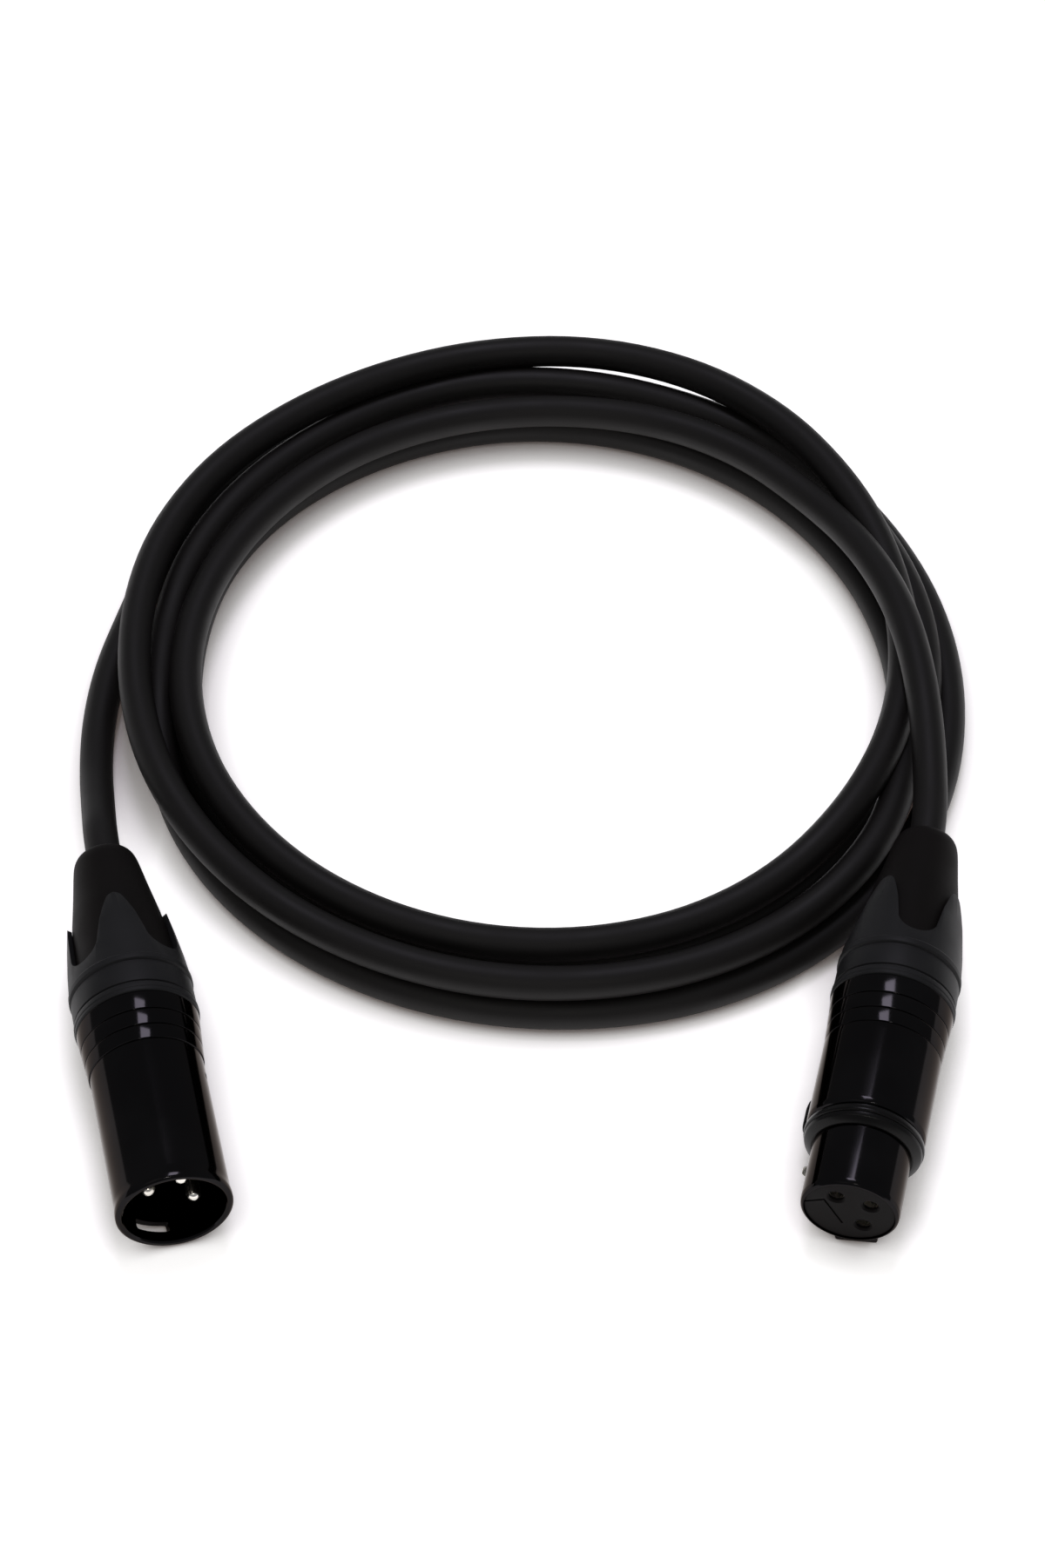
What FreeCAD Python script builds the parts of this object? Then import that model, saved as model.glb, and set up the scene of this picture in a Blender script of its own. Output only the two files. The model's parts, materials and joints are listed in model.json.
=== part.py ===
"""A short microphone lead, coiled on a table, with an XLR connector on each end.

Frame: millimetres, +Z up, the table top is z = 0. +X runs to the side from the
male connector to the female one, and both connectors point towards -Y. The
origin is on the table, under the middle of the two connectors.

Each connector is modelled along its own x axis, from the rear of its boot
(x = 0) to its front face, and is then laid on the table.
"""
import FreeCAD, Part
import math
import os

Vector = FreeCAD.Vector
X_AXIS = Vector(1, 0, 0)
CENTRE = Vector(0, 0, 0)

# ---- driving sizes ------------------------------------------------------
CABLE_R = 3.0             # jacket radius, a 6 mm microphone cable
PIN_CIRCLE_R = 4.0        # three contacts a quarter turn apart on this circle
PIN_R = 1.2               # male pin
PIN_ROOT_R = 1.5          # the same pin inside the insert
MALE_LENGTH = 75.5        # boot rear to mouth
FEMALE_LENGTH = 78.8      # boot rear to face
SLIDE_GAP = 0.15          # play between parts that turn or slide

# Boot: the same soft sleeve, nut and chuck on both connectors.
TIP_X = 15.5              # tips of the nut's four petals
SCALLOP_X = 28.0          # bottom of the scallops between them
THREAD_X = 29.2           # rear end of the shell's thread
NUT_FRONT_X = 38.3
SLEEVE_REAR_X = 1.4       # the sleeve stops a little short of the boot rear datum
SLEEVE_LINE = [(5.0, 5.88), (13.0, 7.2), (TIP_X, 7.6), (28.5, 9.25)]
NUT_GROOVES = (31.8, 36.3)
THREAD_R = 8.3
SHELL_BORE_R = 7.4
CHUCK_R = 6.8
CHUCK_BORE_R = CABLE_R + 0.1
CHUCK_END_X = 34.0

# Shells: three shallow steps ahead of the nut, then a plain tube.
STEP_ENDS = (41.8, 44.8, 47.6)
MALE_STEPS = (10.2, 9.95, 9.7)
FEMALE_STEPS = (10.3, 10.05, 9.9)
MALE_TUBE_R = 9.4
MOUTH_R = 8.35
MALE_SEAT_X = 46.0        # shoulder that the male insert rests on
MALE_FACE_X = 60.0        # face of the male insert, deep in the mouth
COLLAR_X = MALE_FACE_X + 0.8    # front of the low collar round each pin
PIN_TIP_X = MALE_LENGTH - 3.0
WINDOW_DEPTH = (1.6, 5.3)       # the latch window, behind the mouth's rim
FEMALE_TUBE_R = 9.75
NOSE_R = 8.05
SHOULDER_X = 64.0
NOSE_X = 67.6
KEY_ANGLE = 170.0         # rib under the nose, clockwise from up
KEY_WIDTH = 7.0
KEY_R = 8.8
FEMALE_INSERT_X = 44.0
SOCKET_R = 1.7
SOCKET_BORE_R = 1.23
SOCKET_X = FEMALE_LENGTH - 1.0
SOCKET_DEPTH = 12.0

# Latch of the female connector, a lever in a pocket beside the contacts.
LATCH_PIVOT_X = 46.5
LATCH_PIVOT_R = 5.8
LATCH_WIDTH = 5.0
LATCH_BAR = (5.0, 6.6)    # inner and outer distance of the bar from the axis
LATCH_PIN_R = 0.6
LATCH_PIN_LENGTH = 7.0
LATCH_EYE_TOP = 6.8
POCKET_FLOOR = 3.2
PAD_X = (56.5, 63.2)
HOOK_X = (69.4, 72.6)

# Cup and wires behind the contacts.
CUP_R = 1.45
CUP_BORE_R = 0.9
CUP_LENGTH = 6.0
JACKET_END_X = 33.0
WIRE_R = 0.75

# ---- how the connectors lie ---------------------------------------------
# Face centre, yaw towards +X and pitch (negative is nose down) in degrees, and
# the angle of contact 3, clockwise from up as seen from the front.
MALE_POSE = ((-54.095, -37.785, 9.64), 12.9, -1.3, 27.0)
FEMALE_POSE = ((53.005, -37.835, 9.56), -13.2, -2.2, 54.0)
# Where the nuts came to rest when they were tightened: a petal, clockwise from up.
MALE_PETAL_ANGLE = 0.0
FEMALE_PETAL_ANGLE = -35.0

# ---- the cable ------------------------------------------------------------
# Inside each boot the jacket is straight from the wires to BEND_START_X; the
# rest of the sleeve's bore is flared, so the cable may already bend there.
BEND_START_X = 11.0
FIRST_CORNER_X = -2.0
FLARE_R = 4.0
COIL_CENTRE = (4.1, 86.4)
# Sections of the coil, (distance from its centre, height): one strand high all
# round, and two to three strands high away from the female connector.
COIL_LOW_SECTION = [(60.5, 0.0), (81.5, 0.0), (81.5, 6.2), (75.0, 6.2), (75.0, 9.5), (62.0, 9.5),
                    (60.5, 8.0)]
COIL_HIGH_SECTION = [(60.5, 0.0), (82.5, 0.0), (82.5, 6.5), (79.5, 12.5), (77.5, 14.0),
                     (62.0, 14.0), (60.5, 12.0)]
COIL_HIGH_ARC = (18.0, 300.0)   # degrees from +X

# Corners of the tails behind their first corner, towards the coil.
FEMALE_TAIL = [(72.3, 54.5, 14.3), (72.1, 68.5, 16.2), (70.7, 82.5, 17.0), (67.9, 96.0, 16.2),
               (63.8, 109.0, 13.6), (58.7, 121.0, 10.0)]
MALE_TAIL = [(-73.3, 50.5, 7.3), (-74.9, 62.5, 4.0), (-75.6, 75.0, 3.05), (-74.6, 88.0, 3.05),
             (-71.6, 101.0, 3.05), (-67.0, 112.7, 3.05)]


# ---- helpers --------------------------------------------------------------
def revolve(outline, start=0.0, turn=360.0):
    """Solid from a closed outline of (x, radius) points turned about the x axis."""
    points = [Vector(x, 0, r) for x, r in outline]
    face = Part.Face(Part.makePolygon(points + points[:1]))
    solid = face.revolve(CENTRE, X_AXIS, turn)
    solid.rotate(CENTRE, X_AXIS, start)
    return solid


def rod(x0, x1, radius, offset=Vector(0, 0, 0)):
    """Cylinder along x."""
    return Part.makeCylinder(radius, x1 - x0, Vector(x0, 0, 0) + offset, X_AXIS)


def block(x0, x1, width, low, high):
    """Box along x, centred on y, between two heights."""
    return Part.makeBox(x1 - x0, width, high - low, Vector(x0, -width / 2, low))


def turned(shape, angle):
    """Copy turned about x, clockwise as seen from the front."""
    copy = shape.copy()
    copy.rotate(CENTRE, X_AXIS, -angle)
    return copy


def polar(radius, angle):
    """Offset from the axis at an angle clockwise from up, seen from the front."""
    turn = math.radians(angle)
    return Vector(0, radius * math.sin(turn), radius * math.cos(turn))


def tube(points, radius, radii=None):
    """Round bar along straight runs joined by tangent arcs.

    Each arc's radius is 0.45 of the shorter run over the tangent of half the
    turn. radii, when given, collects those radii.
    """
    path = [Vector(*p) for p in points]
    edges = []
    start = path[0]
    for before, corner, after in zip(path, path[1:], path[2:]):
        into = (corner - before).normalize()
        out = (after - corner).normalize()
        setback = 0.45 * min(corner.distanceToPoint(before), after.distanceToPoint(corner))
        turn = into.getAngle(out)
        bend = setback / math.tan(turn / 2)
        if radii is not None:
            radii.append(bend)
        arc_start = corner - into * setback
        arc_end = corner + out * setback
        inward = (out - into).normalize()
        centre = corner + inward * (bend / math.cos(turn / 2))
        arc_middle = centre - inward * bend
        edges.append(Part.LineSegment(start, arc_start).toShape())
        edges.append(Part.Arc(arc_start, arc_middle, arc_end).toShape())
        start = arc_end
    edges.append(Part.LineSegment(start, path[-1]).toShape())
    wire = Part.Wire(edges)
    heading = path[1] - path[0]
    profile = Part.Wire(Part.makeCircle(radius, path[0], heading))
    return wire.makePipeShell([profile], True, True), wire.Length


class Pose:
    """Where a connector lies: turns local shapes and points into the part's frame."""

    def __init__(self, face, yaw, pitch, length):
        turn, dip = math.radians(yaw), math.radians(pitch)
        self.ahead = Vector(math.sin(turn) * math.cos(dip), -math.cos(turn) * math.cos(dip),
                            math.sin(dip))
        side = Vector(math.cos(turn), math.sin(turn), 0)
        up = self.ahead.cross(side)
        base = Vector(*face) - self.ahead * length
        self.placement = FreeCAD.Placement(base, FreeCAD.Rotation(self.ahead, side, up, "XYZ"))

    def place(self, shape):
        """The shape, moved from the connector's own frame."""
        placed = shape.copy()
        placed.Placement = self.placement.multiply(placed.Placement)
        return placed

    def point(self, local):
        """A local point in the part's frame."""
        return self.placement.multVec(local)

    def direction(self, local):
        """A local direction in the part's frame."""
        return self.placement.Rotation.multVec(local)


# ---- boot: sleeve, nut and chuck ------------------------------------------
def boot_sleeve():
    """Soft gland that guides the cable out, with a round rear edge."""
    edge = [(SLEEVE_REAR_X, FLARE_R), (SLEEVE_REAR_X, 4.3), (1.6, 4.75), (2.3, 5.25), (3.4, 5.6)]
    cavity = [(28.5, 7.0), (20.6, 7.0), (14.4, 4.85), (14.4, CABLE_R + SLIDE_GAP),
              (BEND_START_X, CABLE_R + SLIDE_GAP)]
    return revolve(edge + SLEEVE_LINE + cavity)


def scallop_cutter():
    """U-shaped cut between two petals, wider towards their tips."""
    round_r, open_half, open_x = 3.9, 5.0, TIP_X - 1.0
    centre_x = SCALLOP_X - round_r
    lean = math.atan2(open_half - round_r, centre_x - open_x)
    touch = Vector(centre_x - round_r * math.sin(lean), round_r * math.cos(lean), 4.0)
    mirror = Vector(touch.x, -touch.y, touch.z)
    mouth = [Vector(open_x, open_half, 4.0), Vector(open_x, -open_half, 4.0)]
    edges = [Part.LineSegment(mouth[0], touch).toShape(),
             Part.Arc(touch, Vector(SCALLOP_X, 0, 4.0), mirror).toShape(),
             Part.LineSegment(mirror, mouth[1]).toShape(),
             Part.LineSegment(mouth[1], mouth[0]).toShape()]
    return Part.Face(Part.Wire(edges)).extrude(Vector(0, 0, 10))


def boot_nut(petal_angle):
    """Threaded nut whose four petals lie on the sleeve, one of them at an angle from up."""
    outer = [(TIP_X, 8.25), (TIP_X + 0.4, 8.55), (30.3, 10.4)]
    for groove in NUT_GROOVES:
        outer += [(groove - 0.3, 10.4), (groove, 10.0), (groove + 0.3, 10.4)]
    outer += [(NUT_FRONT_X - 0.4, 10.5), (NUT_FRONT_X, 10.2)]
    inner = [(NUT_FRONT_X, THREAD_R + 0.2), (28.5, THREAD_R + 0.2), (28.5, 9.25), (TIP_X, 7.6)]
    nut = revolve(outer + inner)
    cutter = scallop_cutter()
    for quarter in range(4):
        nut = nut.cut(turned(cutter, petal_angle + 45 + 90 * quarter))
    return nut


def chuck():
    """Collet that grips the jacket, with two keys that stop it turning."""
    body = revolve([(15.0, CHUCK_BORE_R), (15.0, 4.7), (20.4, CHUCK_R), (CHUCK_END_X, CHUCK_R),
                    (CHUCK_END_X, CHUCK_BORE_R)])
    for side in (90, 270):
        key = block(30.0, CHUCK_END_X, 1.6, CHUCK_R - 0.6, SHELL_BORE_R - SLIDE_GAP)
        body = body.fuse(turned(key, side))
    for slit in range(2):
        body = body.cut(turned(block(14.0, 26.0, 0.8, -8, 8), 45 + 90 * slit))
    return body.removeSplitter()


def thread_outline():
    """Ridges of the shell's rear thread, from its rear end to the nut's front."""
    pitch, ridges = 1.0, 8
    points = [(THREAD_X, THREAD_R - 0.45)]
    for ridge in range(ridges):
        crest = THREAD_X + 0.5 + ridge * pitch
        points += [(crest, THREAD_R), (crest + pitch / 2, THREAD_R - 0.45)]
    return points


# ---- contacts and wires -----------------------------------------------------
def solder_cup(rear_x, offset):
    """Cup behind a contact, open on the side away from the axis."""
    cup = rod(rear_x, rear_x + CUP_LENGTH, CUP_R, offset)
    cup = cup.cut(rod(rear_x - 1, rear_x + CUP_LENGTH - 1.5, CUP_BORE_R, offset))
    return cup


def open_cup(contact, rear_x, angle):
    """Cut the solder cup open over its outer half."""
    window = block(rear_x - 0.1, rear_x + 3.2, 2 * CUP_R + 0.4, PIN_CIRCLE_R + 0.35,
                   PIN_CIRCLE_R + CUP_R + 1)
    return contact.cut(turned(window, angle))


def male_contact(angle):
    """Pin with a domed tip, a shoulder in the insert and a solder cup."""
    offset = polar(PIN_CIRCLE_R, angle)
    rear_x = 38.5
    pin = revolve([(44.0, 0.0), (44.0, PIN_ROOT_R), (COLLAR_X, PIN_ROOT_R), (COLLAR_X, PIN_R),
                   (PIN_TIP_X - 1.0, PIN_R),
                   (PIN_TIP_X - 0.5, PIN_R - 0.12), (PIN_TIP_X - 0.15, PIN_R - 0.4),
                   (PIN_TIP_X, PIN_R - 0.8), (PIN_TIP_X, 0.0)])
    pin.translate(offset)
    contact = pin.fuse(solder_cup(rear_x, offset)).removeSplitter()
    return open_cup(contact, rear_x, angle)


def female_contact(angle):
    """Sleeve with a bore for a pin, slit so that it springs, and a solder cup."""
    offset = polar(PIN_CIRCLE_R, angle)
    rear_x = 40.0
    body = rod(rear_x + CUP_LENGTH - 1, SOCKET_X, SOCKET_R, offset)
    body = body.cut(rod(SOCKET_X - SOCKET_DEPTH, SOCKET_X + 1, SOCKET_BORE_R, offset))
    contact = body.fuse(solder_cup(rear_x, offset)).removeSplitter()
    return open_cup(contact, rear_x, angle)


def wire_to_cup(cup_x, angle, start_angle):
    """Core from the cut end of the jacket into a solder cup."""
    points = [Vector(JACKET_END_X, 0, 0) + polar(1.6, start_angle),
              Vector(JACKET_END_X + 1.6, 0, 0) + polar(1.6, start_angle),
              Vector(cup_x - 1.6, 0, 0) + polar(PIN_CIRCLE_R - 0.2, angle),
              Vector(cup_x + 2.6, 0, 0) + polar(PIN_CIRCLE_R, angle)]
    return tube([tuple(p) for p in points], WIRE_R)[0]


def ground_spring(x0, x1, low, high, angle):
    """Flat spring on the insert that touches the shell, with a raised middle."""
    touch = high - 0.15
    strip = block(x0, x1, 2.0, low, low + 0.4)
    bump = block((x0 + x1) / 2 - 0.8, (x0 + x1) / 2 + 0.8, 2.0, low, touch)
    return turned(strip.fuse(bump).removeSplitter(), angle)


# ---- male connector -----------------------------------------------------------
def male_shell(latch_angle):
    """Tube with the thread, three steps, the seat of the insert and the latch window."""
    outer = thread_outline()
    outer += [(NUT_FRONT_X + 0.1, THREAD_R - 0.45), (NUT_FRONT_X + 0.1, MALE_STEPS[0] - 0.2)]
    for end, radius in zip(STEP_ENDS, MALE_STEPS):
        start = outer[-1][0]
        outer += [(start + 0.2, radius), (end - 0.2, radius), (end, radius - 0.22)]
    outer += [(STEP_ENDS[2] + 0.3, MALE_TUBE_R), (MALE_LENGTH - 0.35, MALE_TUBE_R),
              (MALE_LENGTH, MALE_TUBE_R - 0.3)]
    inner = [(MALE_LENGTH, MOUTH_R + 0.25), (MALE_LENGTH - 0.25, MOUTH_R),
             (MALE_SEAT_X, MOUTH_R), (MALE_SEAT_X, SHELL_BORE_R), (THREAD_X, SHELL_BORE_R)]
    shell = revolve(outer + inner)
    window = block(MALE_LENGTH - WINDOW_DEPTH[1], MALE_LENGTH - WINDOW_DEPTH[0], 7.6, 7.0, 11.0)
    return shell.cut(turned(window, latch_angle))


def male_insert(roll, latch_angle):
    """Disc of moulded plastic that holds the three pins."""
    body = revolve([(41.5, 0.0), (41.5, 7.2), (MALE_SEAT_X, 7.2), (MALE_SEAT_X, MOUTH_R),
                    (MALE_FACE_X - 0.3, MOUTH_R), (MALE_FACE_X, MOUTH_R - 0.3), (MALE_FACE_X, 0.0)])
    for step in (-90, 0, 90):
        offset = polar(PIN_CIRCLE_R, roll + step)
        body = body.fuse(rod(MALE_FACE_X - 0.1, COLLAR_X, 2.0, offset))
        body = body.cut(rod(40, COLLAR_X + 1, PIN_ROOT_R, offset))
        body = body.cut(rod(40, 44.5, CUP_R, offset))
    slot = block(47.0, MALE_FACE_X + 1, 2.0, MOUTH_R - 1.2, MOUTH_R + 1)
    body = body.cut(turned(slot, latch_angle + 60))
    return body.removeSplitter()


def male_parts(pose, roll):
    """Every piece of the male connector, by node name."""
    latch_angle = roll + 180
    parts = {
        "male_boot_sleeve": boot_sleeve(),
        "male_boot_nut": boot_nut(MALE_PETAL_ANGLE),
        "male_chuck": chuck(),
        "male_shell": male_shell(latch_angle),
        "male_insert": male_insert(roll, latch_angle),
        "male_ground_spring": ground_spring(47.0, 58.5, MOUTH_R - 1.2, MOUTH_R, latch_angle + 60),
        "male_cable_end": rod(BEND_START_X, JACKET_END_X, CABLE_R),
    }
    for number, step in ((1, -90), (2, 90), (3, 0)):
        parts["male_pin_%d" % number] = male_contact(roll + step)
    parts["male_shield_wire"] = wire_to_cup(38.5, roll - 90, roll - 90)
    parts["male_hot_wire"] = wire_to_cup(38.5, roll + 90, roll + 90)
    parts["male_cold_wire"] = wire_to_cup(38.5, roll, roll)
    return {name: pose.place(shape) for name, shape in parts.items()}


# ---- female connector -----------------------------------------------------------
def female_shell(latch_angle):
    """Tube with the thread, three steps, the shoulder and the thin nose."""
    outer = thread_outline()
    outer += [(NUT_FRONT_X + 0.1, THREAD_R - 0.45), (NUT_FRONT_X + 0.1, FEMALE_STEPS[0] - 0.2)]
    for end, radius in zip(STEP_ENDS, FEMALE_STEPS):
        start = outer[-1][0]
        outer += [(start + 0.2, radius), (end - 0.2, radius), (end, radius - 0.22)]
    outer += [(STEP_ENDS[2] + 0.3, FEMALE_TUBE_R), (SHOULDER_X - 0.35, FEMALE_TUBE_R),
              (SHOULDER_X, FEMALE_TUBE_R - 0.3), (SHOULDER_X, NOSE_R),
              (FEMALE_LENGTH - 0.4, NOSE_R), (FEMALE_LENGTH, NOSE_R - 0.35)]
    inner = [(FEMALE_LENGTH, SHELL_BORE_R), (THREAD_X, SHELL_BORE_R)]
    shell = revolve(outer + inner)
    key = block(NOSE_X + 0.9, FEMALE_LENGTH - 0.4, KEY_WIDTH, SHELL_BORE_R + 0.2, KEY_R)
    shell = shell.fuse(turned(key, KEY_ANGLE)).removeSplitter()
    pad_window = block(PAD_X[0] - 0.3, PAD_X[1] + 0.3, LATCH_WIDTH + 2.6, 5, 12)
    hook_window = block(HOOK_X[0] - 0.3, HOOK_X[1] + 0.3, LATCH_WIDTH + 0.6, 5, 12)
    return shell.cut(turned(pad_window, latch_angle)).cut(turned(hook_window, latch_angle))


def buffer_ring():
    """Dark ring between the shoulder and the nose, with one groove."""
    return revolve([(SHOULDER_X, NOSE_R), (SHOULDER_X, 9.2), (SHOULDER_X + 0.8, 9.2),
                    (SHOULDER_X + 1.1, 9.9), (SHOULDER_X + 2.6, 10.0), (NOSE_X - 0.4, 9.6),
                    (NOSE_X, 9.1), (NOSE_X, NOSE_R)])


def female_insert(roll, latch_angle):
    """Moulded block with the three sockets' holes and the latch's pocket."""
    body = revolve([(FEMALE_INSERT_X, 0.0), (FEMALE_INSERT_X, SHELL_BORE_R),
                    (FEMALE_LENGTH - 0.25, SHELL_BORE_R), (FEMALE_LENGTH - 0.25, 0.0)])
    for step in (-90, 0, 90):
        offset = polar(PIN_CIRCLE_R, roll + step)
        body = body.cut(rod(40, SOCKET_X, SOCKET_R, offset))
        body = body.cut(rod(SOCKET_X - 0.1, FEMALE_LENGTH + 1, PIN_R + 0.2, offset))
    pocket = block(FEMALE_INSERT_X - 1, HOOK_X[1] + 0.3, LATCH_WIDTH + 0.6, POCKET_FLOOR, 9)
    pad_pocket = block(PAD_X[0] - 0.3, PAD_X[1] + 0.3, LATCH_WIDTH + 2.6, 5.4, 9)
    pin_hole = pivot_cylinder(LATCH_PIN_R, LATCH_PIN_LENGTH)
    spring_hole = Part.makeCylinder(1.5, 1.6, Vector(59.5, 0, POCKET_FLOOR - 1.5), Vector(0, 0, 1))
    cuts = pocket.fuse(pad_pocket).fuse(pin_hole).fuse(spring_hole)
    body = body.cut(turned(cuts, latch_angle))
    slot = block(50.0, 62.0, 2.0, SHELL_BORE_R - 1.0, SHELL_BORE_R + 1)
    return body.cut(turned(slot, latch_angle + 180))


def pivot_cylinder(radius, length, drop=0.0):
    """Cylinder across the latch's pivot, or that far below it."""
    start = Vector(LATCH_PIVOT_X, -length / 2, LATCH_PIVOT_R - drop)
    return Part.makeCylinder(radius, length, start, Vector(0, 1, 0))


def latch(latch_angle):
    """Lever with an eye round its pivot and a hook through the nose."""
    low, high = LATCH_BAR
    outline = [(LATCH_PIVOT_X - 1.5, low), (HOOK_X[1] - 0.1, low), (HOOK_X[1], high + 0.6),
               (HOOK_X[0] + 1.0, 8.95), (HOOK_X[0] + 0.1, 8.95), (HOOK_X[0], high),
               (LATCH_PIVOT_X - 1.5, high)]
    points = [Vector(x, -LATCH_WIDTH / 2, z) for x, z in outline]
    bar = Part.Face(Part.makePolygon(points + points[:1])).extrude(Vector(0, LATCH_WIDTH, 0))
    eye = pivot_cylinder(1.5, LATCH_WIDTH, 0.3).common(block(40, 60, 10, 0, LATCH_EYE_TOP))
    lever = bar.fuse(eye).cut(pivot_cylinder(LATCH_PIN_R + 0.06, 20))
    return turned(lever.removeSplitter(), latch_angle)


def latch_button(latch_angle):
    """Crowned button on the lever, pressed through the shell's window."""
    button = block(PAD_X[0], PAD_X[1], LATCH_WIDTH + 2.0, LATCH_BAR[1], 11.0)
    crown = revolve([(PAD_X[0] - 1, 0.0), (PAD_X[0] - 1, 10.2), (PAD_X[0] + 1.2, 10.7),
                     (PAD_X[1] - 1.0, 10.7), (PAD_X[1] + 1, 10.1), (PAD_X[1] + 1, 0.0)])
    return turned(button.common(crown), latch_angle)


def latch_pin(latch_angle):
    """Steel pivot pin across the pocket."""
    return turned(pivot_cylinder(LATCH_PIN_R, LATCH_PIN_LENGTH), latch_angle)


def latch_spring(latch_angle):
    """Small coil spring under the lever, as five stacked turns."""
    wire_r, turn_r, low = 0.22, 1.0, POCKET_FLOOR - 0.25
    turns = None
    for level in range(5):
        ring = Part.makeTorus(turn_r, wire_r, Vector(59.5, 0, low + wire_r + level * 0.34),
                              Vector(0, 0, 1))
        turns = ring if turns is None else turns.fuse(ring)
    return turned(turns, latch_angle)


def female_parts(pose, roll):
    """Every piece of the female connector, by node name."""
    latch_angle = roll + 180
    parts = {
        "female_boot_sleeve": boot_sleeve(),
        "female_boot_nut": boot_nut(FEMALE_PETAL_ANGLE),
        "female_chuck": chuck(),
        "female_shell": female_shell(latch_angle),
        "female_buffer_ring": buffer_ring(),
        "female_insert": female_insert(roll, latch_angle),
        "female_latch": latch(latch_angle),
        "female_latch_button": latch_button(latch_angle),
        "female_latch_pin": latch_pin(latch_angle),
        "female_latch_spring": latch_spring(latch_angle),
        "female_ground_spring": ground_spring(50.0, 61.0, SHELL_BORE_R - 1.0, SHELL_BORE_R,
                                              latch_angle + 180),
        "female_cable_end": rod(BEND_START_X, JACKET_END_X, CABLE_R),
    }
    for number, step in ((1, -90), (2, 90), (3, 0)):
        parts["female_socket_%d" % number] = female_contact(roll + step)
    parts["female_shield_wire"] = wire_to_cup(40.0, roll - 90, roll - 90)
    parts["female_hot_wire"] = wire_to_cup(40.0, roll + 90, roll + 90)
    parts["female_cold_wire"] = wire_to_cup(40.0, roll, roll)
    return {name: pose.place(shape) for name, shape in parts.items()}


# ---- cable -----------------------------------------------------------------
def coil_ring():
    """Outer shape of the coil: a low ring all round, higher for most of it."""
    def ring(section, turn):
        points = [Vector(r, 0, z) for r, z in section]
        face = Part.Face(Part.makePolygon(points + points[:1]))
        return face.revolve(CENTRE, Vector(0, 0, 1), turn)

    start, end = COIL_HIGH_ARC
    high_part = ring(COIL_HIGH_SECTION, end - start)
    high_part.rotate(CENTRE, Vector(0, 0, 1), start)
    coil = ring(COIL_LOW_SECTION, 360.0).fuse(high_part).removeSplitter()
    coil.translate(Vector(COIL_CENTRE[0], COIL_CENTRE[1], 0))
    return coil


def tail(pose, corners, coil, label):
    """Tube from inside a boot, along its axis and then by hand-set corners, to the coil."""
    start = pose.point(Vector(BEND_START_X, 0, 0))
    first = pose.point(Vector(FIRST_CORNER_X, 0, 0))
    radii = []
    bar, length = tube([tuple(start), tuple(first)] + corners, CABLE_R, radii)
    section = math.pi * CABLE_R ** 2
    print("%s: length %.1f, radii %s, volume over section x length %.4f"
          % (label, length, ["%.0f" % r for r in radii], bar.Volume / (section * length)))
    return bar.cut(coil)


def main():
    """Build every node, check it and write its STEP file."""
    os.makedirs("parts", exist_ok=True)
    male_face, male_yaw, male_pitch, male_roll = MALE_POSE
    female_face, female_yaw, female_pitch, female_roll = FEMALE_POSE
    male_pose = Pose(male_face, male_yaw, male_pitch, MALE_LENGTH)
    female_pose = Pose(female_face, female_yaw, female_pitch, FEMALE_LENGTH)
    nodes = male_parts(male_pose, male_roll)
    nodes.update(female_parts(female_pose, female_roll))
    box = FreeCAD.BoundBox()
    for shape in nodes.values():
        box.add(shape.BoundBox)
    print("connectors: x %.2f %.2f, y %.2f %.2f, z %.2f %.2f"
          % (box.XMin, box.XMax, box.YMin, box.YMax, box.ZMin, box.ZMax))
    coil = coil_ring()
    nodes["cable_coil"] = coil
    nodes["cable_tail_male"] = tail(male_pose, MALE_TAIL, coil, "male tail")
    nodes["cable_tail_female"] = tail(female_pose, FEMALE_TAIL, coil, "female tail")
    for name, shape in nodes.items():
        print("%-22s valid %s solids %d volume %.1f"
              % (name, shape.isValid(), len(shape.Solids), shape.Volume))
        shape.exportStep("parts/%s.step" % name)
    for label, pose, angle in (("male", male_pose, male_roll), ("female", female_pose, female_roll)):
        print("%s rear %s ahead %s" % (label, tuple(round(c, 3) for c in pose.point(CENTRE)),
                                       tuple(round(c, 5) for c in pose.ahead)))


main()
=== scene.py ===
"""A coiled microphone lead with an XLR connector on each end, on a pale table.

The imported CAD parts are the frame. This script dresses the parts that stay, and
models the visible ones again with their rounded edges, grooves and grain.
"""
from __future__ import annotations

import json
import logging
import math
from dataclasses import dataclass, field
from enum import Enum

import bpy
import bmesh
from mathutils import Matrix, Vector

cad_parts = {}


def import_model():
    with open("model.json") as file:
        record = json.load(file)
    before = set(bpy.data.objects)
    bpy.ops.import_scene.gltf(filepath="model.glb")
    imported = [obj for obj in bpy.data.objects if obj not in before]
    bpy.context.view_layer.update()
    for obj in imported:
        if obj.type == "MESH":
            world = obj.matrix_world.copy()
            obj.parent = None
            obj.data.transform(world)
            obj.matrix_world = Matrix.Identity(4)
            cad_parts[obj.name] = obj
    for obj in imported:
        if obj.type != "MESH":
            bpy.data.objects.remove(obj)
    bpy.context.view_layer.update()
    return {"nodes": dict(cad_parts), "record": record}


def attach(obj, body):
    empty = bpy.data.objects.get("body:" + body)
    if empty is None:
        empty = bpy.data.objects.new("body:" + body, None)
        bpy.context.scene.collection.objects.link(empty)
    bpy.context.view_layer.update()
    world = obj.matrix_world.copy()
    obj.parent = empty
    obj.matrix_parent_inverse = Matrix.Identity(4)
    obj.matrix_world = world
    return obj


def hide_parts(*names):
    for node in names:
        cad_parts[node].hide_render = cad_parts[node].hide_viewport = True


LOG = logging.getLogger("lead")
MM = 0.001
X_AXIS, Y_AXIS, Z_AXIS = Vector((1, 0, 0)), Vector((0, 1, 0)), Vector((0, 0, 1))
Outline = list[tuple[float, ...]]


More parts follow.
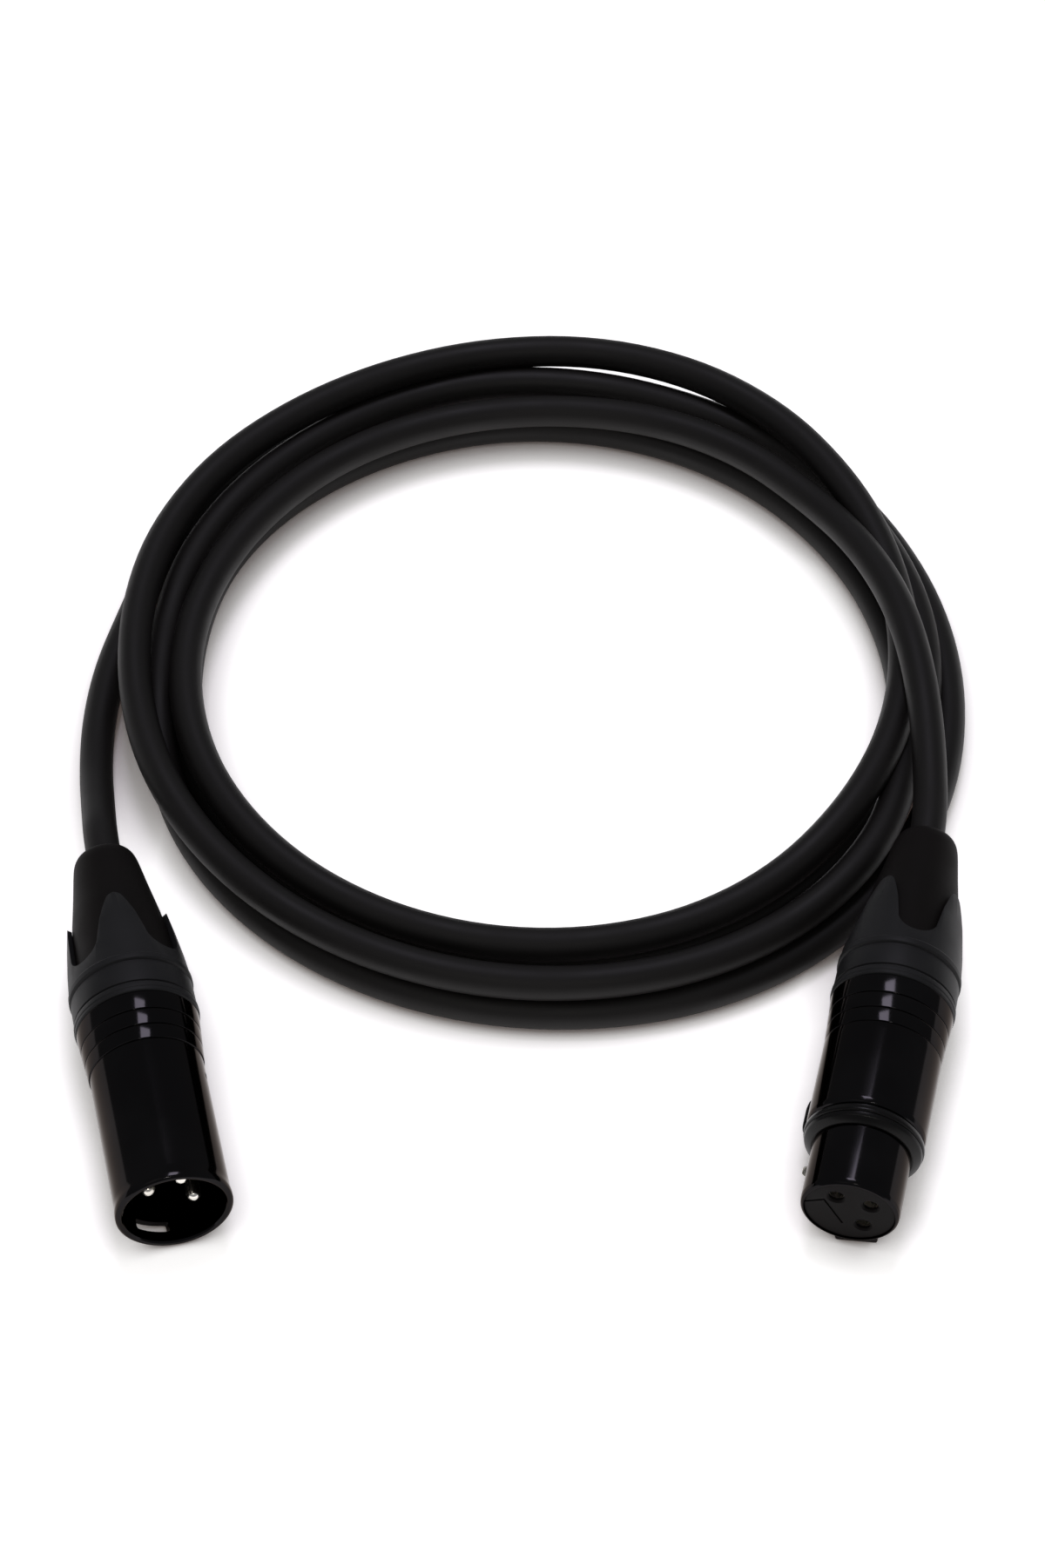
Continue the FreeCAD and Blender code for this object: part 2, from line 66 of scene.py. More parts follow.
class Side(Enum):
    """Which of the two connectors."""

    MALE = "male"
    FEMALE = "female"


class Grain(Enum):
    """How a surface was made; a turned one has its marks drawn out along one axis."""

    MOULDED = "moulded"
    PLATED = "plated"
    EXTRUDED = "extruded"
    TURNED = "turned"


# ---- colour and nodes -------------------------------------------------------
def linear(hex_colour: str) -> tuple[float, float, float, float]:
    """Turn an sRGB hex colour into linear red, green, blue and alpha.

    Args:
        hex_colour: Seven characters, such as "#1d1e20".

    Returns:
        Four linear values.
    """
    channels = [int(hex_colour[i:i + 2], 16) / 255 for i in (1, 3, 5)]
    toned = [c / 12.92 if c <= 0.04045 else ((c + 0.055) / 1.055) ** 2.4 for c in channels]
    return (toned[0], toned[1], toned[2], 1.0)


def add_node(tree: bpy.types.NodeTree, kind: str, inputs: dict | None = None,
             **settings: object) -> bpy.types.Node:
    """Add a node with its settings and links.

    Args:
        tree: The node tree.
        kind: The node's type name.
        inputs: Socket name or index to a value, or to the output linked to it.
        settings: The node's own properties.

    Returns:
        The new node.
    """
    node = tree.nodes.new(kind)
    for name, value in settings.items():
        setattr(node, name, value)
    for key, value in (inputs or {}).items():
        if isinstance(value, bpy.types.NodeSocket):
            tree.links.new(value, node.inputs[key])
        else:
            node.inputs[key].default_value = value
    return node


@dataclass(frozen=True)
class Finish:
    """One real material: its colours, how it shines and how its surface was made.

    Sizes are in millimetres. The grain is the spacing of the fine texture, the
    mottle that of the slow change in colour and gloss.
    """

    name: str
    colour: str
    worn: str
    roughness: float
    grain: Grain = Grain.MOULDED
    metallic: float = 0.0
    ior: float = 1.5
    specular: float = 0.5
    edge: str = "#ffffff"
    grain_mm: float = 0.35
    mottle_mm: float = 9.0
    bump: float = 0.15
    bump_mm: float = 0.03
    gloss_change: float = 0.08

    def make(self) -> bpy.types.Material:
        """Build the material.

        Returns:
            The material, or the one made before under the same name.
        """
        known = bpy.data.materials.get(self.name)
        if known:
            return known
        material = bpy.data.materials.new(self.name)
        material.use_nodes = True
        tree = material.node_tree
        tree.nodes.clear()
        shader = add_node(tree, "ShaderNodeBsdfPrincipled", {
            "Metallic": self.metallic, "IOR": self.ior, "Specular IOR Level": self.specular,
            "Specular Tint": linear(self.edge)})
        add_node(tree, "ShaderNodeOutputMaterial", {"Surface": shader.outputs["BSDF"]})
        place = self.coordinates(tree)
        mottle = add_node(tree, "ShaderNodeTexNoise", {
            "Vector": place, "Scale": 1 / (self.mottle_mm * MM), "Detail": 3.0})
        fine = self.fine_texture(tree, place)
        self.link_colour(tree, shader, mottle, fine)
        gloss = add_node(tree, "ShaderNodeMapRange", {
            "Value": mottle.outputs["Fac"], "From Min": 0.3, "From Max": 0.7,
            "To Min": self.roughness - self.gloss_change,
            "To Max": self.roughness + self.gloss_change})
        tree.links.new(gloss.outputs["Result"], shader.inputs["Roughness"])
        bump = add_node(tree, "ShaderNodeBump", {
            "Strength": self.bump, "Distance": self.bump_mm * MM, "Height": fine})
        tree.links.new(bump.outputs["Normal"], shader.inputs["Normal"])
        return material

    def coordinates(self, tree: bpy.types.NodeTree) -> bpy.types.NodeSocket:
        """Return the object coordinates, in metres."""
        return add_node(tree, "ShaderNodeTexCoord").outputs["Object"]

    def fine_texture(self, tree: bpy.types.NodeTree,
                     place: bpy.types.NodeSocket) -> bpy.types.NodeSocket:
        """Return the height of the fine texture."""
        scale = 1 / (self.grain_mm * MM)
        if self.grain is Grain.TURNED:
            stretched = add_node(tree, "ShaderNodeMapping", {
                "Vector": place, "Scale": (1.0, 0.12, 1.0)})
            place = stretched.outputs["Vector"]
        noise = add_node(tree, "ShaderNodeTexNoise", {
            "Vector": place, "Scale": scale, "Detail": 4.0, "Roughness": 0.6})
        return noise.outputs["Fac"]

    def link_colour(self, tree: bpy.types.NodeTree, shader: bpy.types.Node,
                    mottle: bpy.types.Node, fine: bpy.types.NodeSocket) -> None:
        """Link the colour: the base, turning to the worn tone on the mottle's peaks."""
        worn = add_node(tree, "ShaderNodeMapRange", {
            "Value": mottle.outputs["Fac"], "From Min": 0.42, "From Max": 0.75})
        mixed = add_node(tree, "ShaderNodeMix", {
            0: worn.outputs["Result"], 6: linear(self.colour), 7: linear(self.worn)},
            data_type="RGBA")
        tree.links.new(mixed.outputs[2], shader.inputs["Base Color"])


@dataclass(frozen=True)
class JacketFinish(Finish):
    """Extruded PVC: streaks from the die run along the cable."""

    length_m: float = 2.2
    streak_m: float = 0.02
    streaks_round: float = 22.0

    def fine_texture(self, tree: bpy.types.NodeTree,
                     place: bpy.types.NodeSocket) -> bpy.types.NodeSocket:
        """Return fine grain with long streaks from the die."""
        grain = add_node(tree, "ShaderNodeTexNoise", {
            "Vector": place, "Scale": 1 / (self.grain_mm * MM), "Detail": 3.0})
        strip = add_node(tree, "ShaderNodeUVMap")
        stretched = add_node(tree, "ShaderNodeMapping", {
            "Vector": strip.outputs["UV"],
            "Scale": (self.length_m / self.streak_m, self.streaks_round, 1.0)})
        streak = add_node(tree, "ShaderNodeTexNoise", {
            "Vector": stretched.outputs["Vector"], "Scale": 1.0, "Detail": 2.0})
        both = add_node(tree, "ShaderNodeMath", {
            0: grain.outputs["Fac"], 1: streak.outputs["Fac"]}, operation="ADD")
        return both.outputs["Value"]


# ---- finishes -----------------------------------------------------------------
# Die-cast zinc under black chrome: near-mirror dark metal with a faint haze.
BLACK_CHROME = Finish("black_chrome_plate", "#201f20", "#262526", 0.11, Grain.PLATED, 1.0,
                      edge="#cdc9c6", grain_mm=0.25, mottle_mm=14.0, bump=0.04, bump_mm=0.01,
                      gloss_change=0.02)
# Glass-filled nylon: cool dark grey, satin from the spark-eroded mould.
NUT_NYLON = Finish("nut_glass_filled_nylon", "#1b1b1c", "#202021", 0.5, Grain.MOULDED, 0.0, 1.53,
                   0.16, grain_mm=0.3, bump=0.25, bump_mm=0.03)
# Soft elastomer: warm black, dull, slightly cloudy.
SLEEVE_RUBBER = Finish("sleeve_elastomer_rubber", "#100d0c", "#151211", 0.6, Grain.MOULDED, 0.0,
                       1.48, 0.09, grain_mm=0.4, bump=0.22, bump_mm=0.03)
# Polyester moulding: matte near-black, a little warm.
INSERT_POLYESTER = Finish("insert_moulded_polyester", "#0e0c0c", "#141111", 0.55, Grain.MOULDED,
                          0.0, 1.55, 0.05, grain_mm=0.28, bump=0.3, bump_mm=0.03)
# Polished nylon ring and button: glossy black.
RING_NYLON = Finish("ring_polished_nylon", "#0a0909", "#0f0e0e", 0.3, Grain.MOULDED, 0.0, 1.53,
                    0.14, grain_mm=0.5, bump=0.08, bump_mm=0.02, gloss_change=0.05)
# Acetal collet: dark grey and waxy.
CHUCK_ACETAL = Finish("chuck_acetal", "#3a3a3c", "#454547", 0.4, Grain.MOULDED, 0.0, 1.48)
# Silver plate on turned brass: bright and white.
PIN_SILVER = Finish("pin_silver_plate", "#f0ede6", "#d8d2c6", 0.22, Grain.TURNED, 1.0,
                    grain_mm=0.2, mottle_mm=2.0, bump=0.06, bump_mm=0.01, gloss_change=0.08)
# Stamped steel under nickel: bright with a warm tinge.
LATCH_NICKEL = Finish("latch_nickel_plate", "#d9d6cc", "#b9b4a6", 0.26, Grain.PLATED, 1.0,
                      grain_mm=0.2, mottle_mm=2.5, bump=0.08, bump_mm=0.015)
# Drawn spring steel: bright grey with fine draw lines.
SPRING_STEEL = Finish("spring_drawn_steel", "#b4b4b4", "#9a9a98", 0.3, Grain.TURNED, 1.0,
                      grain_mm=0.15, mottle_mm=2.0, bump=0.08, bump_mm=0.01)
# Soft PVC jacket: matte black with a slight sheen and faint streaks.
JACKET_PVC = JacketFinish("jacket_extruded_pvc", "#131110", "#181615", 0.55, Grain.EXTRUDED, 0.0,
                          1.5, 0.22, grain_mm=0.5, mottle_mm=18.0, bump=0.3, bump_mm=0.03)
WIRE_RED = Finish("wire_red_insulation", "#a8231c", "#8f1c17", 0.45, Grain.EXTRUDED)
WIRE_WHITE = Finish("wire_white_insulation", "#dedcd4", "#cfccc2", 0.45, Grain.EXTRUDED)
WIRE_COPPER = Finish("wire_bare_copper", "#d08a5c", "#b06f45", 0.35, Grain.TURNED, 1.0,
                     grain_mm=0.2, mottle_mm=2.0)


# ---- bench: modelling steps ------------------------------------------------------
class Bench:
    """The modelling steps that every piece is made with, in millimetres."""

    @staticmethod
    def clear() -> None:
        """Deselect everything."""
        if bpy.context.object and bpy.context.object.mode != "OBJECT":
            bpy.ops.object.mode_set(mode="OBJECT")
        bpy.ops.object.select_all(action="DESELECT")

    @staticmethod
    def pick(piece: bpy.types.Object) -> None:
        """Make a piece the only selected and active one."""
        Bench.clear()
        piece.select_set(True)
        bpy.context.view_layer.objects.active = piece

    @staticmethod
    def wire(points: list[tuple[float, float, float]]) -> bpy.types.Object:
        """Draw a closed loop of edges through points.

        Args:
            points: Corners in order.

        Returns:
            The new object.
        """
        Bench.clear()
        bpy.ops.mesh.primitive_plane_add(size=1.0, location=(0, 0, 0))
        loop = bpy.context.object
        bpy.ops.object.mode_set(mode="EDIT")
        bpy.ops.mesh.select_all(action="SELECT")
        bpy.ops.mesh.merge(type="CENTER")
        bpy.ops.transform.translate(value=points[0])
        for before, after in zip(points, points[1:]):
            step = Vector(after) - Vector(before)
            bpy.ops.mesh.extrude_vertices_move(TRANSFORM_OT_translate={"value": step})
        mesh = bmesh.from_edit_mesh(loop.data)
        ends = [v for v in mesh.verts if len(v.link_edges) == 1]
        bpy.ops.mesh.select_all(action="DESELECT")
        for vert in ends:
            vert.select_set(True)
        mesh.select_flush(True)
        bmesh.update_edit_mesh(loop.data)
        bpy.ops.mesh.edge_face_add()
        bpy.ops.object.mode_set(mode="OBJECT")
        return loop

    @staticmethod
    def turn(outline: Outline, steps: int = 96) -> bpy.types.Object:
        """Turn a closed outline about the z axis.

        Args:
            outline: (z, radius) corners, with an optional third value that rounds a corner.
            steps: Facets round the axis.

        Returns:
            The closed solid.
        """
        flat = Bench.rounded(outline)
        solid = Bench.wire([(r, 0.0, z) for z, r in flat])
        bpy.ops.object.mode_set(mode="EDIT")
        bpy.ops.mesh.select_all(action="SELECT")
        bpy.ops.mesh.spin(steps=steps, angle=math.tau, center=(0, 0, 0), axis=(0, 0, 1))
        bpy.ops.mesh.select_all(action="SELECT")
        bpy.ops.mesh.remove_doubles(threshold=0.0008)
        bpy.ops.mesh.delete_loose()
        bpy.ops.mesh.select_all(action="SELECT")
        bpy.ops.mesh.normals_make_consistent(inside=False)
        bpy.ops.object.mode_set(mode="OBJECT")
        return solid

    @staticmethod
    def plate(outline: Outline, low: float, high: float) -> bpy.types.Object:
        """Extrude a closed outline in the xy plane.

        Args:
            outline: (x, y) corners, with an optional third value that rounds a corner.
            low: Height of the lower face.
            high: Height of the upper face.

        Returns:
            The closed solid.
        """
        flat = Bench.rounded(outline)
        solid = Bench.wire([(x, y, low) for x, y in flat])
        bpy.ops.object.mode_set(mode="EDIT")
        bpy.ops.mesh.select_all(action="SELECT")
        bpy.ops.mesh.edge_face_add()
        bpy.ops.mesh.extrude_region_move(TRANSFORM_OT_translate={"value": (0, 0, high - low)})
        bpy.ops.mesh.select_all(action="SELECT")
        bpy.ops.mesh.normals_make_consistent(inside=False)
        bpy.ops.object.mode_set(mode="OBJECT")
        return solid

    @staticmethod
    def rounded(outline: Outline, steps: int = 4) -> list[tuple[float, float]]:
        """Round the corners of a closed outline.

        Args:
            outline: Corners; a third value is how far back the rounding starts.
            steps: Segments in each rounded corner.

        Returns:
            The corners, each rounded one as a short curve.
        """
        count = len(outline)
        result: list[tuple[float, float]] = []
        for index, corner in enumerate(outline):
            here = Vector(corner[:2])
            if len(corner) < 3:
                result.append((here.x, here.y))
                continue
            before = Vector(outline[index - 1][:2]) - here
            after = Vector(outline[(index + 1) % count][:2]) - here
            back = min(corner[2], 0.45 * before.length, 0.45 * after.length)
            start, end = here + before.normalized() * back, here + after.normalized() * back
            for step in range(steps + 1):
                t = step / steps
                point = start * (1 - t) ** 2 + here * 2 * t * (1 - t) + end * t * t
                result.append((point.x, point.y))
        return result

    @staticmethod
    def move(piece: bpy.types.Object, matrix: Matrix) -> bpy.types.Object:
        """Move a piece by a matrix and apply it to the mesh."""
        Bench.pick(piece)
        piece.matrix_world = matrix @ piece.matrix_world
        bpy.ops.object.transform_apply(location=True, rotation=True, scale=True)
        return piece

    @staticmethod
    def clocked(piece: bpy.types.Object, angle: float) -> bpy.types.Object:
        """Turn a piece clockwise about z by degrees, as seen from the front."""
        return Bench.move(piece, Matrix.Rotation(-math.radians(angle), 4, "Z"))

    @staticmethod
    def twin(piece: bpy.types.Object) -> bpy.types.Object:
        """Copy a piece with its own mesh."""
        Bench.pick(piece)
        bpy.ops.object.duplicate(linked=False)
        return bpy.context.object

    @staticmethod
    def cut(piece: bpy.types.Object, tool: bpy.types.Object) -> bpy.types.Object:
        """Cut a tool out of a piece, and remove the tool."""
        Bench.pick(piece)
        step = piece.modifiers.new("cut", "BOOLEAN")
        step.object, step.operation, step.solver = tool, "DIFFERENCE", "EXACT"
        bpy.ops.object.modifier_apply(modifier=step.name)
        bpy.data.objects.remove(tool, do_unlink=True)
        return piece

    @staticmethod
    def soften(piece: bpy.types.Object, width: float, segments: int = 2,
               angle: float = 40.0) -> bpy.types.Object:
        """Round the sharp edges of a piece."""
        Bench.pick(piece)
        step = piece.modifiers.new("edges", "BEVEL")
        step.width, step.segments = width, segments
        step.limit_method, step.angle_limit = "ANGLE", math.radians(angle)
        step.use_clamp_overlap, step.harden_normals = True, False
        bpy.ops.object.modifier_apply(modifier=step.name)
        return piece

    @staticmethod
    def joined(first: bpy.types.Object, *others: bpy.types.Object) -> bpy.types.Object:
        """Join pieces into one object."""
        Bench.pick(first)
        for other in others:
            other.select_set(True)
        bpy.ops.object.join()
        return first

    @staticmethod
    def upright(along: Vector, across: Vector) -> Matrix:
        """Return the turn that lays x on one direction and y on another."""
        turn = Matrix((along, across, along.cross(across))).transposed()
        return turn.to_4x4()


@dataclass
class Seat:
    """Where a connector lies: turns its own frame, in millimetres, into the part's.

    In its own frame, z runs from the boot's rear edge to the front, and y
    points to contact 3.
    """

    matrix: Matrix

    @classmethod
    def of(cls, record: dict, front: str, contact: str, length: float) -> Seat:
        """Read a connector's place from the record.

        Args:
            record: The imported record.
            front: Name of the mount on the connector's front.
            contact: Name of the mount on contact 3.
            length: Length of the connector in millimetres.

        Returns:
            The connector's place.
        """
        mounts = {mount["name"]: mount for mount in record["mounts"]}
        ahead = Vector(mounts[front]["axis"]).normalized()
        face = Vector(mounts[front]["pos_m"])
        up = Vector(mounts[contact]["pos_m"]) - face
        up = (up - up.dot(ahead) * ahead).normalized()
        matrix = Matrix((up.cross(ahead) * MM, up * MM, ahead * MM)).transposed().to_4x4()
        matrix.translation = face - ahead * length * MM
        return cls(matrix)

    def finish(self, piece: bpy.types.Object, name: str, body: str, slot: str, finish: Finish,
               nodes: tuple[str, ...] = (), angle: float = 32.0) -> bpy.types.Object:
        """Lay a finished piece in its place and dress it.

        Args:
            piece: The piece, in the connector's frame.
            name: Its name.
            body: The body it moves with.
            slot: The record's material slot; not used.
            finish: Its finish.
            nodes: The CAD nodes it stands for.
            angle: Edges sharper than this stay sharp, in degrees.

        Returns:
            The piece.
        """
        Bench.move(piece, self.matrix)
        piece.name = name
        piece.data.name = name
        piece.data.materials.clear()
        piece.data.materials.append(finish.make())
        Bench.pick(piece)
        bpy.ops.object.shade_smooth_by_angle(angle=math.radians(angle))
        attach(piece, body)
        if nodes:
            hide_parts(*nodes)
        LOG.info("%s rides on %s", name, body)
        return piece


# ---- the cable --------------------------------------------------------------------
@dataclass
class Cable:
    """The cable: nearly four and a half loose turns between the two boots, in millimetres."""

    diameter: float = 6.0
    centre: tuple[float, float] = (4.1, 86.4)
    step_deg: float = 15.0
    last_step_deg: float = 5.0
    lowest_centre: float = 3.02
    start: tuple[float, float, float] = (68.476, 28.125, 12.163)
    female_route: list[tuple[float, float, float]] = field(default_factory=lambda: [
        (71.442, 40.772, 12.662), (72.3, 54.5, 14.3), (72.1, 68.5, 16.2), (70.7, 82.5, 17.0),
        (67.9, 96.0, 16.2)])
    male_route: list[tuple[float, float, float]] = field(default_factory=lambda: [
        (-71.1, 101.0, 3.05), (-74.2, 88.0, 3.05), (-75.4, 75.0, 3.05), (-74.9, 62.5, 4.0),
        (-73.3, 50.5, 7.3), (-71.392, 37.74, 11.398), (-68.491, 25.071, 11.103)])
    turns: list[list[tuple[float, float, float]]] = field(default_factory=lambda: [
        # Each turn: degrees from the right, distance from the centre, height.
        [(22, 62.7, 14.5), (30, 62.3, 12), (60, 64.6, 10.5), (90, 64.6, 9), (120, 64, 9),
         (150, 62.9, 9), (180, 63.7, 9), (210, 65.4, 9), (240, 67.4, 9), (270, 69, 9),
         (300, 68.6, 9), (330, 66.4, 12)],
        [(0, 65.7, 11), (30, 68.1, 13.5), (60, 76.2, 12.7), (76, 79.5, 11.8), (90, 79.7, 11.3),
         (120, 75.8, 12.5), (137, 76.6, 11.3), (150, 76.3, 10.5), (180, 72.8, 10.5),
         (210, 73.3, 9.5), (240, 75, 9), (270, 77, 8.7), (300, 76.9, 8), (315, 75.2, 8.6),
         (330, 72.6, 9.3), (345, 66.8, 7.3)],
        [(0, 65.7, 3), (30, 64.8, 3), (60, 66.2, 3), (90, 67.1, 3), (120, 66.4, 3),
         (150, 66, 3), (180, 63.8, 3), (210, 66, 3), (240, 67.5, 3), (270, 69, 3), (300, 69, 3),
         (315, 68.2, 3), (330, 68.4, 3), (345, 70.2, 3.6)],
        [(0, 70.2, 7.1), (30, 70.7, 8), (60, 73.2, 7.2), (76, 73.5, 7.2), (87, 75.6, 7.2),
         (105, 75.2, 7.2), (120, 72.9, 7.2), (137, 71.2, 7.3), (150, 70.5, 7), (180, 68, 5.5),
         (200, 70.7, 3.4), (210, 72.6, 3), (240, 76, 3), (270, 78.5, 3), (300, 80, 3),
         (315, 78.4, 3), (330, 76.8, 3)],
        [(0, 73.9, 3), (30, 74.2, 3), (60, 77.6, 3), (76, 78, 3), (87, 80.2, 3), (105, 79.9, 3),
         (120, 78.2, 3), (137, 75.9, 3), (150, 76.8, 3), (164, 76.8, 3)]])

    def coil_points(self) -> list[tuple[float, float, float]]:
        """Return the points of the turns, evenly spaced round the coil."""
        stations = [(360 * lap + angle, radius, height)
                    for lap, turn in enumerate(self.turns) for angle, radius, height in turn]
        # The spline runs inside its points, so they stand out by this much.
        outward = 1 / math.cos(math.radians(self.step_deg / 2))
        points = []
        angle = stations[0][0]
        while angle < stations[-1][0] - self.last_step_deg:
            after = next(i for i, s in enumerate(stations) if s[0] > angle)
            low, high = stations[after - 1], stations[after]
            share = (angle - low[0]) / (high[0] - low[0])
            radius = (low[1] + (high[1] - low[1]) * share) * outward
            height = low[2] + (high[2] - low[2]) * share
            turn = math.radians(angle)
            points.append((self.centre[0] + radius * math.cos(turn),
                           self.centre[1] + radius * math.sin(turn),
                           max(height, self.lowest_centre)))
            angle += self.step_deg
        return points

    def build(self, finish: Finish) -> bpy.types.Object:
        """Lay the cable from the female boot round the coil to the male boot.

        Args:
            finish: The jacket's finish.

        Returns:
            The cable, a curve.
        """
        points = [self.start] + self.female_route + self.coil_points() + self.male_route
        curve = bpy.data.curves.new("cable", "CURVE")
        curve.dimensions = "3D"
        spline = curve.splines.new("NURBS")
        spline.points.add(len(points) - 1)
        for control, point in zip(spline.points, points):
            control.co = (point[0] * MM, point[1] * MM, point[2] * MM, 1.0)
        spline.order_u = 3
        spline.use_endpoint_u = True
        spline.resolution_u = 6
        curve.bevel_depth = self.diameter / 2 * MM
        curve.bevel_resolution = 6
        curve.use_fill_caps = True
        cable = bpy.data.objects.new("cable", curve)
        bpy.context.collection.objects.link(cable)
        curve.materials.append(finish.make())
        length = self.measured(cable)
        LOG.info("cable length %.4f m", length)
        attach(cable, "root")
        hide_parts("cable_coil", "cable_tail_male", "cable_tail_female")
        return cable

    @staticmethod
    def measured(cable: bpy.types.Object) -> float:
        """Return the length of the cable's centreline, in metres."""
        depth, cable.data.bevel_depth = cable.data.bevel_depth, 0.0
        bpy.context.view_layer.update()
        line = bpy.data.meshes.new_from_object(cable)
        cable.data.bevel_depth = depth
        corners = [v.co.copy() for v in line.vertices]
        bpy.data.meshes.remove(line)
        return sum((b - a).length for a, b in zip(corners, corners[1:]))


# ---- the boot -----------------------------------------------------------------------
@dataclass
class Boot:
    """The soft sleeve and its threaded nut with four petals, in millimetres."""

    side: Side
    seat: Seat
    petal_angle: float
    tip_z: float = 15.2
    scallop_z: float = 28.0
    scallop_r: float = 3.4
    front_z: float = 38.3
    thread_r: float = 8.5

    def sleeve(self) -> bpy.types.Object:
        """Turn the sleeve, with its round rear edge and flared bore."""
        outline = [(1.9, 3.7, 0.2), (1.4, 3.95, 0.2), (1.45, 4.5, 0.2), (1.75, 4.95, 0.2),
                   (2.4, 5.32, 0.4), (3.4, 5.6, 0.5), (5.0, 5.88), (9.0, 6.5), (13.0, 7.18),
                   (15.5, 7.6), (22.0, 8.43), (28.4, 9.22), (28.4, 7.0), (20.6, 7.0),
                   (14.4, 4.85), (14.4, 3.2), (11.0, 3.2), (5.0, 3.55)]
        return Bench.turn(outline, 96)

    def nut(self) -> bpy.types.Object:
        """Turn the nut, then cut the four scallops between its petals."""
        outline = [(self.tip_z, 8.1, 0.2), (self.tip_z + 0.15, 8.42, 0.25), (21.0, 9.28),
                   (26.0, 9.92), (30.2, 10.3, 0.2), (30.35, 10.44, 0.1), (31.35, 10.46, 0.15),
                   (31.6, 10.0, 0.06), (31.9, 10.0, 0.06), (32.05, 10.26, 0.06),
                   (36.0, 10.3, 0.06), (36.1, 10.02, 0.05), (36.4, 10.02, 0.05),
                   (36.55, 10.46, 0.15), (37.4, 10.5, 0.1), (37.5, 10.4, 0.05),
                   (38.1, 10.42, 0.2), (self.front_z, 10.1, 0.1), (self.front_z, self.thread_r),
                   (28.6, self.thread_r), (28.6, 9.26), (22.0, 8.47), (self.tip_z, 7.64)]
        nut = Bench.turn(outline, 128)
        cutter = self.scallop()
        for quarter in range(4):
            tool = Bench.clocked(Bench.twin(cutter), self.petal_angle + 45 + 90 * quarter)
            Bench.cut(nut, tool)
        bpy.data.objects.remove(cutter, do_unlink=True)
        return Bench.soften(nut, 0.22, 2, 45)

    def scallop(self) -> bpy.types.Object:
        """Make the U-shaped cutter between two petals; it flares to round their tips."""
        centre = self.scallop_z - self.scallop_r
        arc = [(centre + self.scallop_r * math.cos(t), self.scallop_r * math.sin(t))
               for t in (math.radians(a) for a in range(0, 91, 10))]
        flank = [(20.6, 4.0), (18.4, 4.5), (17.0, 4.85), (16.2, 5.1), (15.8, 5.35),
                 (15.5, 5.75), (15.3, 6.4), (14.0, 7.6)]
        half = arc + flank
        outline = half + [(z, -y) for z, y in reversed(half[1:])]
        tool = Bench.plate(outline, 4.0, 13.0)
        return Bench.move(tool, Bench.upright(Z_AXIS, X_AXIS))

    def build(self) -> None:
        """Build and dress the boot."""
        name = self.side.value
        self.seat.finish(self.sleeve(), f"{name}_sleeve_soft", f"{name}_boot", "sleeve_elastomer",
                         SLEEVE_RUBBER, (f"{name}_boot_sleeve",))
        self.seat.finish(self.nut(), f"{name}_nut_petals", f"{name}_boot", "nut_nylon",
                         NUT_NYLON, (f"{name}_boot_nut",))


@dataclass
class Shell:
    """What both metal shells share: the thread and three shallow bands, in millimetres."""

    thread_z: float = 29.2
    thread_r: float = 8.3
    pitch: float = 1.0
    ridges: int = 8
    bore_r: float = 7.4

    def thread(self) -> Outline:
        """Return the outline of the thread's ridges."""
        low = self.thread_r - 0.45
        points: Outline = [(self.thread_z, low)]
        for ridge in range(self.ridges):
            crest = self.thread_z + 0.5 + ridge * self.pitch
            points += [(crest, self.thread_r), (crest + self.pitch / 2, low)]
        return points

    @staticmethod
    def window(start: float, end: float, half: float, inner: float, outer: float,
               corner: float = 0.0) -> bpy.types.Object:
        """Make the cutter for a window or pocket on the side away from contact 3.

        Args:
            start: Its rear end along the connector.
            end: Its front end.
            half: Half its width.
            inner: How far from the axis it starts.
            outer: How far from the axis it ends.
            corner: Where the rounding of its corners starts, or 0 for sharp ones.

        Returns:
            The cutter.
        """
        ease = (corner,) if corner else ()
        tool = Bench.plate([(start, -half, *ease), (end, -half, *ease), (end, half, *ease),
                            (start, half, *ease)], inner, outer)
        Bench.move(tool, Bench.upright(Z_AXIS, X_AXIS))
        return Bench.clocked(tool, 180)

    def bands(self, radii: tuple[float, ...]) -> Outline:
        """Return the outline of the three bands, each a slight cone.

        Args:
            radii: Rear and front radius of each band in turn.

        Returns:
            Outline corners from the nut to the plain tube.
        """
        ends = ((38.42, 41.7), (41.95, 44.7), (44.95, 47.5))
        points: Outline = [(38.42, self.thread_r - 0.45)]
        for (start, end), rear, front in zip(ends, radii[::2], radii[1::2]):
            points += [(start, rear, 0.15), (end, front, 0.15), (end + 0.05, front - 0.22, 0.03)]
        return points


